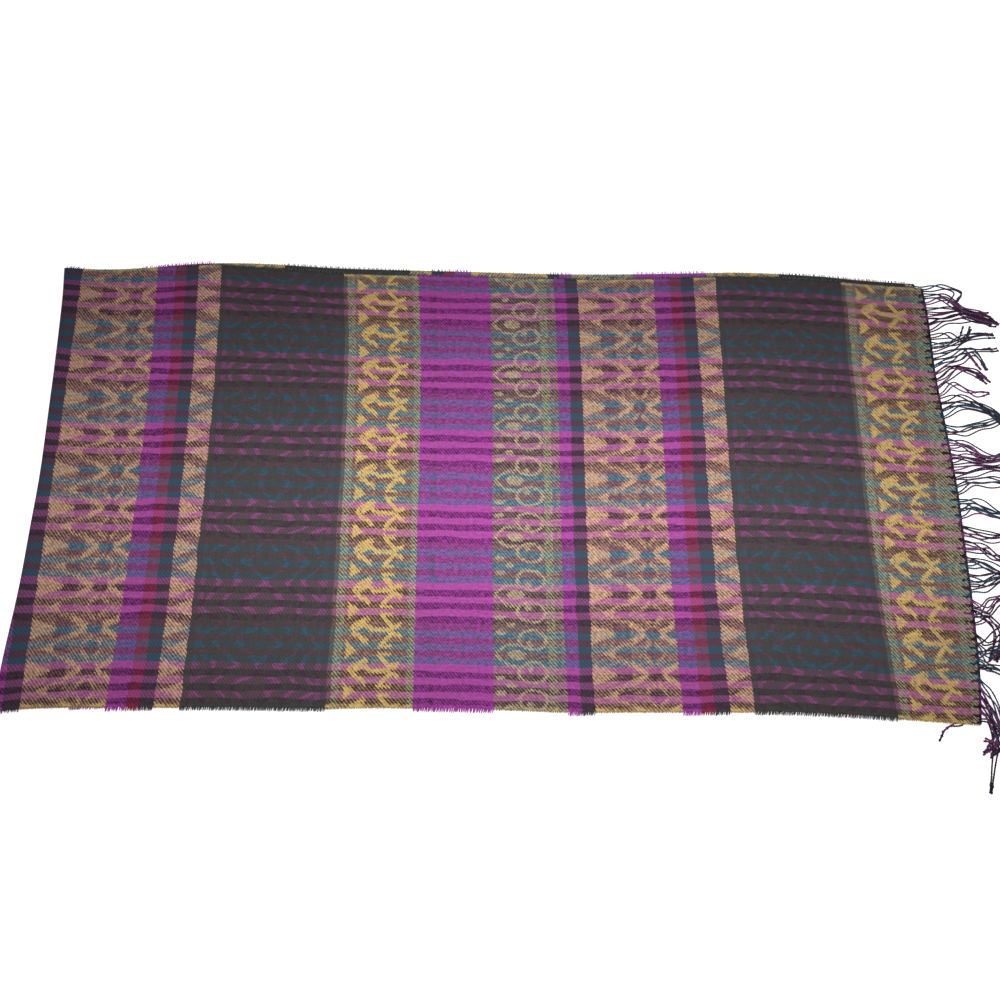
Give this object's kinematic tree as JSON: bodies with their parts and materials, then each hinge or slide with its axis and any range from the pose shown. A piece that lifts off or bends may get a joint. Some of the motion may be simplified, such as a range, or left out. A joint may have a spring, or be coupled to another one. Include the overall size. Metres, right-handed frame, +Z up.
{
  "type": "fringed shawl, folded once and laid flat",
  "caption": "Striped and banded twill shawl, folded once across its length and laid flat, with knotted twisted fringe along both short ends.",
  "frame": {"origin": "middle of the footprint, fringes included, on the surface that the shawl lies on", "axes": "+X along the cloth's length from the fold to the fringes, +Y across the width from the front selvedge to the back one, +Z up"},
  "size_m": [1.0188, 0.5432, 0.0056],
  "materials": {
    "upper_cloth": "soft banded viscose twill, magenta, gold, green-black and teal",
    "under_cloth": "soft banded viscose twill, the same cloth as the upper layer",
    "upper_fringe_yarn": "twisted warp yarn, navy, plum and magenta",
    "under_fringe_yarn": "twisted warp yarn, navy, plum and magenta"
  },
  "bodies": {
    "root": {"upper_layer": "upper_cloth", "under_layer": "under_cloth", "upper_fringe": "upper_fringe_yarn", "under_fringe": "under_fringe_yarn"}
  },
  "joints": []
}
